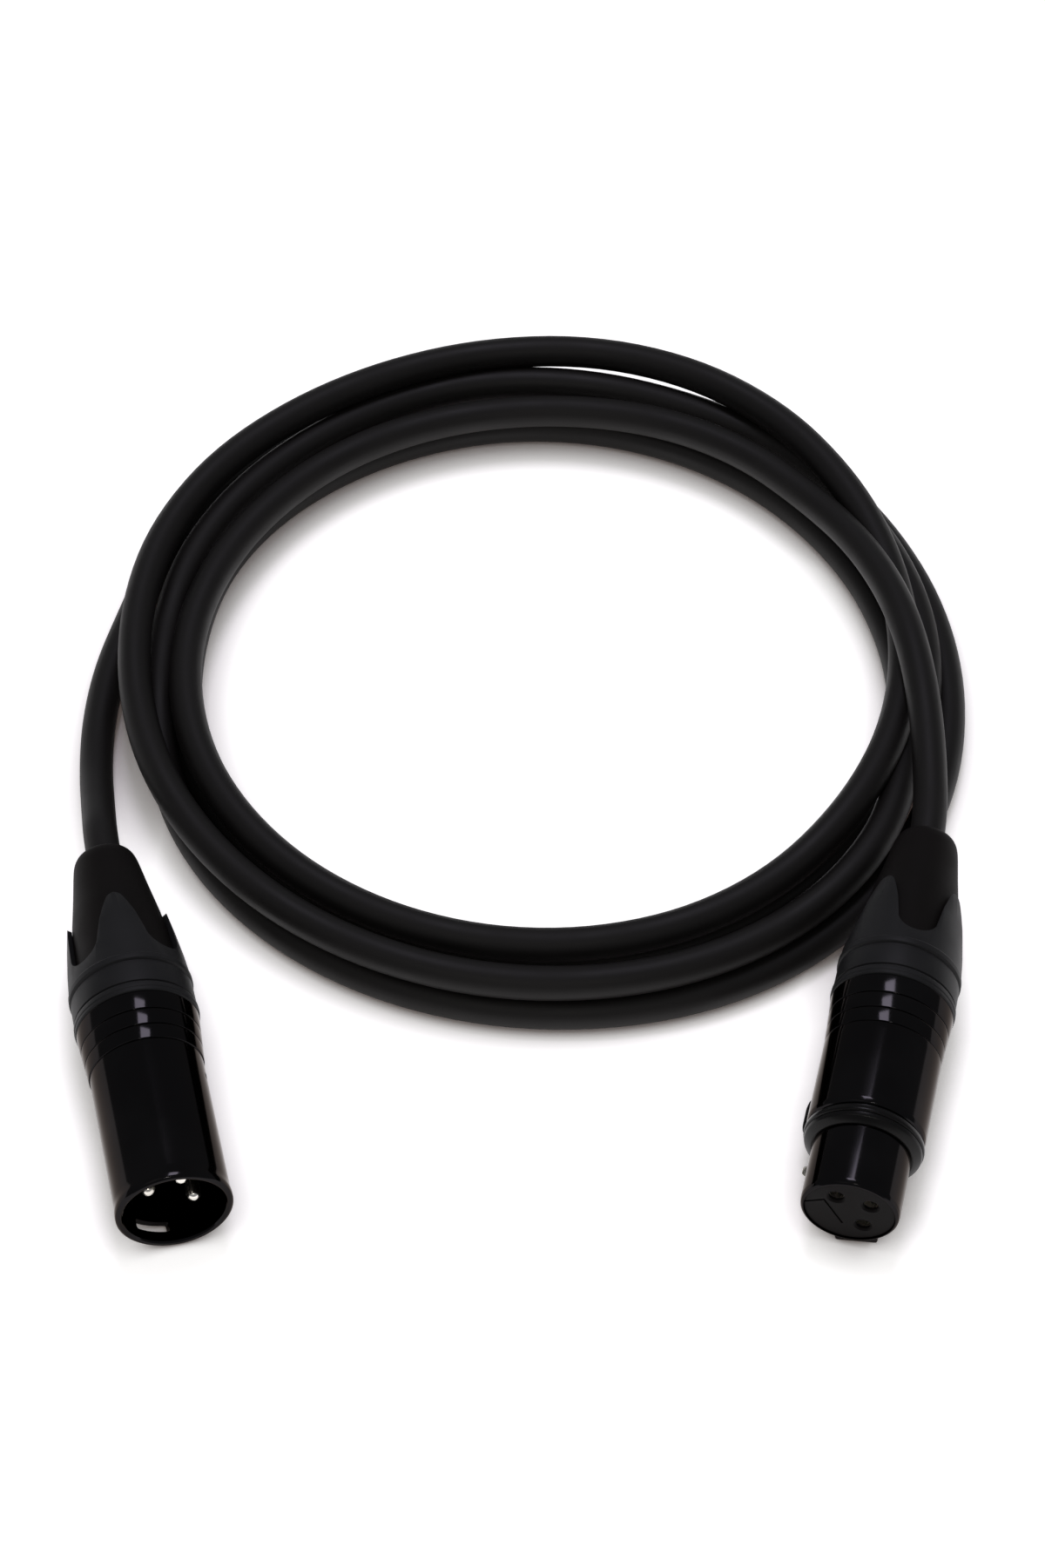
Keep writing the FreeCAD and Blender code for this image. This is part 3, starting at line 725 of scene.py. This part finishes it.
@dataclass
class MaleConnector(Shell):
    """The male connector: shell with its mouth, insert and three pins."""

    length: float = 75.5
    tube_r: float = 9.4
    mouth_r: float = 8.35
    seat_z: float = 46.0
    face_z: float = 60.0
    pin_circle: float = 4.0
    pin_r: float = 1.2
    petal_angle: float = -27.0

    def shell(self) -> bpy.types.Object:
        """Turn the shell and cut its latch window."""
        outline = self.thread() + self.bands((10.28, 10.02, 10.02, 9.79, 9.8, 9.58))
        outline += [(47.7, self.tube_r + 0.02, 0.1), (49.0, self.tube_r),
                    (self.length - 2.4, self.tube_r, 0.6), (self.length - 1.1, 9.58, 0.4),
                    (self.length - 0.35, 9.5, 0.2), (self.length, 9.1, 0.2),
                    (self.length, self.mouth_r + 0.3, 0.2), (self.length - 0.35, self.mouth_r),
                    (self.seat_z, self.mouth_r), (self.seat_z, self.bore_r),
                    (self.thread_z, self.bore_r)]
        shell = Bench.turn(outline, 128)
        Bench.cut(shell, self.window(71.4, 73.3, 2.9, 7.0, 11.0, 0.5))
        dimple = Bench.turn([(0.0, 0.0), (0.0, 0.55), (3.0, 0.55), (3.0, 0.0)], 24)
        turn = Matrix.Rotation(-math.radians(52), 4, "Z") @ Matrix.Translation((0, 9.1, 51.5))
        Bench.move(dimple, turn @ Matrix.Rotation(-math.pi / 2, 4, "X"))
        return Bench.cut(shell, dimple)

    def insert(self) -> bpy.types.Object:
        """Turn the insert's disc, then set a low collar round each pin."""
        disc = Bench.turn([(41.5, 0.0), (41.5, 7.2), (self.seat_z + 0.05, 7.2),
                           (self.seat_z + 0.05, self.mouth_r - 0.02),
                           (self.face_z - 0.1, self.mouth_r - 0.02, 0.4), (self.face_z, 7.2, 0.3),
                           (self.face_z - 0.35, 6.95, 0.2), (self.face_z - 0.35, 0.0)], 96)
        collars = []
        for step in (-90, 0, 90):
            collar = Bench.turn([(self.face_z - 0.6, 1.25), (self.face_z - 0.6, 2.1),
                                 (self.face_z - 0.3, 2.1, 0.1), (self.face_z + 0.75, 2.0, 0.25),
                                 (self.face_z + 0.75, 1.25)], 32)
            Bench.move(collar, Matrix.Translation((0, self.pin_circle, 0)))
            collars.append(Bench.clocked(collar, step))
        for side in (-1, 1):
            rib = Bench.plate([(-0.35, -6.9), (0.35, -6.9), (0.35, -3.0, 0.2), (-0.35, -3.0, 0.2)],
                              self.face_z - 0.4, self.face_z + 0.05)
            collars.append(Bench.clocked(rib, 30 * side))
        return Bench.joined(disc, *collars)

    def pin(self) -> bpy.types.Object:
        """Turn one pin with its domed tip."""
        tip = self.length - 3.0
        return Bench.turn([(44.0, 0.0), (44.0, 1.45), (self.face_z + 0.5, 1.45, 0.1),
                           (self.face_z + 0.6, self.pin_r, 0.1), (tip - 1.1, self.pin_r, 0.5),
                           (tip - 0.35, 0.98, 0.4), (tip, 0.45, 0.3), (tip, 0.0)], 32)

    def build(self, seat: Seat) -> None:
        """Build and dress the connector."""
        seat.finish(self.shell(), "male_shell_tube", "root", "shell_black_chrome", BLACK_CHROME,
                    ("male_shell",))
        seat.finish(self.insert(), "male_insert_face", "root", "insert_polyester",
                    INSERT_POLYESTER, ("male_insert",))
        for number, step in ((1, -90), (2, 90), (3, 0)):
            pin = Bench.move(self.pin(), Matrix.Translation((0, self.pin_circle, 0)))
            seat.finish(Bench.clocked(pin, step), f"male_contact_{number}", "root",
                        "contact_silver", PIN_SILVER, (f"male_pin_{number}",))
        Boot(Side.MALE, seat, self.petal_angle).build()


@dataclass
class FemaleConnector(Shell):
    """The female connector: shell with its nose, ring, insert and latch.

    Each gap for the latch is its rear end, its front end and half its width.
    """

    length: float = 78.8
    tube_r: float = 9.75
    nose_r: float = 8.05
    shoulder_z: float = 64.0
    socket_circle: float = 4.0
    button_gap: tuple[float, float, float] = (56.2, 63.5, 3.8)
    hook_gap: tuple[float, float, float] = (69.1, 72.9, 2.8)
    key_angle: float = 116.0
    petal_angle: float = -89.0

    def shell(self) -> bpy.types.Object:
        """Turn the shell, add the key rib and cut the latch's two windows."""
        outline = self.thread() + self.bands((10.32, 10.05, 10.08, 9.86, 9.92, 9.72))
        outline += [(47.7, self.tube_r + 0.02, 0.1), (49.0, self.tube_r),
                    (self.shoulder_z - 1.0, self.tube_r, 0.2),
                    (self.shoulder_z - 0.3, self.tube_r - 0.15, 0.1),
                    (self.shoulder_z, self.tube_r - 0.5, 0.1),
                    (self.shoulder_z, self.nose_r), (self.length - 0.95, self.nose_r, 0.2),
                    (self.length - 0.3, self.nose_r - 0.14, 0.1),
                    (self.length, self.nose_r - 0.45, 0.1), (self.length, self.bore_r + 0.02),
                    (self.thread_z, self.bore_r)]
        shell = Bench.turn(outline, 128)
        key = Bench.plate([(68.5, -3.5, 0.3), (78.3, -3.5, 0.5), (78.3, 3.5, 0.5),
                           (68.5, 3.5, 0.3)], 7.7, 8.8)
        Bench.soften(Bench.move(key, Bench.upright(Z_AXIS, X_AXIS)), 0.25, 2, 50)
        for start, end, half in (self.button_gap, self.hook_gap):
            Bench.cut(shell, self.window(start, end, half, 5.0, 12.0, 0.6))
        return Bench.joined(shell, Bench.clocked(key, self.key_angle))

    def ring(self) -> bpy.types.Object:
        """Turn the dark ring between the shoulder and the nose."""
        low = self.shoulder_z
        return Bench.turn([(low + 0.02, self.nose_r + 0.02), (low + 0.02, 9.2), (low + 0.5, 9.2),
                           (low + 0.65, 9.82, 0.1), (low + 1.3, 9.9, 0.2), (low + 1.6, 9.8, 0.1),
                           (low + 1.7, 9.55), (low + 1.9, 9.55), (low + 2.0, 9.7, 0.1),
                           (low + 2.5, 9.55, 0.2), (low + 3.0, 8.9, 0.3), (low + 3.3, 8.35, 0.1),
                           (low + 3.3, self.nose_r + 0.02)], 128)

    def insert(self) -> bpy.types.Object:
        """Turn the insert, drill the sockets' holes and cut the latch's pocket and V line."""
        face = self.length - 0.25
        block = Bench.turn([(44.0, 0.0), (44.0, self.bore_r - 0.02),
                            (face - 0.05, self.bore_r - 0.02, 0.15), (face, 6.9, 0.2),
                            (face, 0.0)], 96)
        for step in (-90, 0, 90):
            hole = Bench.turn([(40.0, 0.0), (40.0, 1.72), (77.8, 1.72), (77.8, 1.25),
                               (face - 0.3, 1.25), (face, 1.55), (face + 0.5, 1.55),
                               (face + 0.5, 0.0)], 32)
            Bench.move(hole, Matrix.Translation((0, self.socket_circle, 0)))
            Bench.cut(block, Bench.clocked(hole, step))
        _, hook_end, hook_half = self.hook_gap
        Bench.cut(block, self.window(43.0, hook_end, hook_half, 3.2, 9.0))
        Bench.cut(block, self.window(*self.button_gap, 5.4, 9.0))
        # The line where the latch's cover is let into the face.
        for start, end in (((-4.7, -5.7), (-4.1, -2.1)), ((-4.2, -2.2), (2.4, -2.9))):
            run = Vector(end) - Vector(start)
            arm = Bench.plate([(0.0, -0.17), (run.length, -0.17), (run.length, 0.17),
                               (0.0, 0.17)], face - 0.3, face + 0.3)
            Bench.move(arm, Matrix.Translation((*start, 0.0))
                       @ Matrix.Rotation(math.atan2(run.y, run.x), 4, "Z"))
            Bench.cut(block, arm)
        return block

    def latch(self) -> bpy.types.Object:
        """Make the sprung lever with its hook."""
        outline = [(45.0, 5.0, 0.3), (72.5, 5.0, 0.2), (72.6, 7.4, 0.2), (70.9, 9.3, 0.35),
                   (69.55, 9.3, 0.2), (69.4, 6.6, 0.1), (48.4, 6.6, 0.3), (45.0, 6.6, 0.3)]
        lever = Bench.plate(outline, -2.5, 2.5)
        return Bench.soften(Bench.move(lever, Bench.upright(Z_AXIS, -Y_AXIS)), 0.15, 2, 40)

    def button(self) -> bpy.types.Object:
        """Make the crowned button on the lever."""
        outline = [(56.5, 6.65), (63.2, 6.65), (63.2, 10.2, 0.5), (61.8, 10.62, 0.6),
                   (58.0, 10.62, 0.6), (56.5, 10.15, 0.5)]
        button = Bench.plate(outline, -3.5, 3.5)
        return Bench.soften(Bench.move(button, Bench.upright(Z_AXIS, -Y_AXIS)), 0.3, 3, 40)

    def build(self, seat: Seat) -> None:
        """Build and dress the connector."""
        seat.finish(self.shell(), "female_shell_tube", "root", "shell_black_chrome",
                    BLACK_CHROME, ("female_shell",))
        seat.finish(self.ring(), "female_ring_buffer", "root", "ring_nylon", RING_NYLON,
                    ("female_buffer_ring",))
        seat.finish(self.insert(), "female_insert_face", "root", "insert_polyester",
                    INSERT_POLYESTER, ("female_insert",))
        seat.finish(self.latch(), "female_latch_hook", "latch", "latch_nickel", LATCH_NICKEL,
                    ("female_latch",))
        seat.finish(self.button(), "female_button_crown", "latch", "shell_black_chrome",
                    RING_NYLON, ("female_latch_button",))
        Boot(Side.FEMALE, seat, self.petal_angle).build()


# ---- carried-over parts ------------------------------------------------------------
@dataclass(frozen=True)
class Wardrobe:
    """The finishes of the CAD parts that stay as they are."""

    finishes: tuple[tuple[str, Finish], ...] = (
        ("chuck", CHUCK_ACETAL), ("ground_spring", SPRING_STEEL), ("latch_pin", SPRING_STEEL),
        ("latch_spring", SPRING_STEEL), ("cable_end", JACKET_PVC), ("socket", PIN_SILVER),
        ("shield_wire", WIRE_COPPER), ("hot_wire", WIRE_RED), ("cold_wire", WIRE_WHITE),
        ("shell", BLACK_CHROME), ("boot_nut", NUT_NYLON), ("boot_sleeve", SLEEVE_RUBBER),
        ("insert", INSERT_POLYESTER), ("pin_", PIN_SILVER), ("latch_button", RING_NYLON),
        ("latch", LATCH_NICKEL), ("buffer_ring", RING_NYLON), ("cable_", JACKET_PVC))

    def dress(self, nodes: dict[str, bpy.types.Object]) -> None:
        """Give every CAD node its finish.

        Args:
            nodes: Node name to its object.
        """
        for name, node in nodes.items():
            finish = next(f for key, f in self.finishes if key in name)
            node.data.materials.clear()
            node.data.materials.append(finish.make())
            LOG.info("%s dressed in %s", name, finish.name)


# ---- table, light and camera ----------------------------------------------------------
@dataclass
class Studio:
    """A white table, three lamps over it, and the camera. Sizes in metres."""

    camera_at: tuple[float, float, float] = (0.001105, -0.38062, 0.492)
    tilt_deg: float = 42.0
    lens: float = 85.0
    table_size: float = 6.0

    def camera(self) -> None:
        """Set up the camera."""
        data = bpy.data.cameras.new("camera")
        data.lens, data.sensor_width, data.sensor_fit = self.lens, 36.0, "AUTO"
        data.clip_start, data.clip_end = 0.01, 20.0
        camera = bpy.data.objects.new("camera", data)
        camera.location = self.camera_at
        camera.rotation_euler = (math.radians(self.tilt_deg), 0.0, 0.0)
        bpy.context.collection.objects.link(camera)
        bpy.context.scene.camera = camera

    def table(self) -> None:
        """Lay the white table top."""
        Bench.clear()
        bpy.ops.mesh.primitive_plane_add(size=self.table_size, location=(0, 0, 0))
        top = bpy.context.object
        top.name = "table_top"
        material = bpy.data.materials.new("table_white_card")
        material.use_nodes = True
        tree = material.node_tree
        tree.nodes.clear()
        shader = add_node(tree, "ShaderNodeBsdfPrincipled", {
            "Base Color": linear("#f6f1ee"), "Roughness": 0.6, "Emission Strength": 0.75})
        # Painted light and shadow: the card glows, and where something stands close over it the
        # glow fades to a warm dark brown, a painted contact shadow.
        shade = add_node(tree, "ShaderNodeAmbientOcclusion", {"Distance": 0.010}, samples=12)
        open_share = add_node(tree, "ShaderNodeMapRange", {
            "Value": shade.outputs["AO"], "From Min": 0.3, "From Max": 0.85})
        # The emission colour turns from white to warm dark brown in the occluded spots: painted
        # shadow.
        painted_glow_and_shadow = add_node(tree, "ShaderNodeMix", {
            0: open_share.outputs["Result"], 6: linear("#2a1c18"), 7: linear("#ffffff")},
            data_type="RGBA")
        tree.links.new(painted_glow_and_shadow.outputs[2], shader.inputs["Emission Color"])
        add_node(tree, "ShaderNodeOutputMaterial", {"Surface": shader.outputs["BSDF"]})
        top.data.materials.append(material)

    def lamp(self, name: str, angle_deg: float, sideways_deg: float, distance: float,
             size: tuple[float, float], power: float, colour: str) -> None:
        """Hang an area lamp over the coil.

        Args:
            name: The lamp's name.
            angle_deg: Its angle up and over from the front horizon.
            sideways_deg: Its lean to the right.
            distance: How far it is from the middle.
            size: Its width and height.
            power: Its power in watts.
            colour: Its sRGB hex colour.
        """
        data = bpy.data.lights.new(name, "AREA")
        data.shape, data.size, data.size_y = "RECTANGLE", size[0], size[1]
        data.energy, data.color = power, linear(colour)[:3]
        lamp = bpy.data.objects.new(name, data)
        over, lean = math.radians(angle_deg), math.radians(sideways_deg)
        away = Vector((math.sin(lean), -math.cos(over) * math.cos(lean),
                       math.sin(over) * math.cos(lean)))
        target = Vector((0.0, 0.03, 0.0))
        lamp.location = target + away * distance
        lamp.rotation_euler = away.to_track_quat("Z", "Y").to_euler()
        bpy.context.collection.objects.link(lamp)

    def light(self) -> None:
        """Hang the lamps and set the room's dim light."""
        self.lamp("softbox_over", 109.0, 0.0, 1.3, (0.34, 0.43), 3.8, "#f2edff")
        self.lamp("flash", 50.0, 0.0, 0.75, (0.06, 0.06), 0.4, "#fffaf2")
        self.lamp("fill_front", 62.0, -25.0, 1.8, (0.9, 0.9), 1.0, "#fff8f0")
        world = bpy.data.worlds.new("room")
        world.use_nodes = True
        tree = world.node_tree
        tree.nodes.clear()
        room = add_node(tree, "ShaderNodeBackground", {
            "Color": linear("#eceef2"), "Strength": 0.3})
        add_node(tree, "ShaderNodeOutputWorld", {"Surface": room.outputs["Background"]})
        bpy.context.scene.world = world
        bpy.context.scene.view_settings.view_transform = "Standard"


def corners(box: tuple) -> list[list[float]]:
    """Return a box's two corners as plain lists."""
    return [[float(value) for value in corner] for corner in box]


def main() -> None:
    """Build the scene."""
    logging.basicConfig(level=logging.INFO, format="%(name)s: %(message)s")
    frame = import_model()
    record = frame["record"]
    studio = Studio()
    studio.camera()
    Cable().build(JACKET_PVC)
    Wardrobe().dress(frame["nodes"])
    male, female = MaleConnector(), FemaleConnector()
    male.build(Seat.of(record, "male_mouth", "male_pin_3", male.length))
    female.build(Seat.of(record, "female_nose", "female_socket_3", female.length))
    studio.table()
    studio.light()


if __name__ == "__main__":
    main()
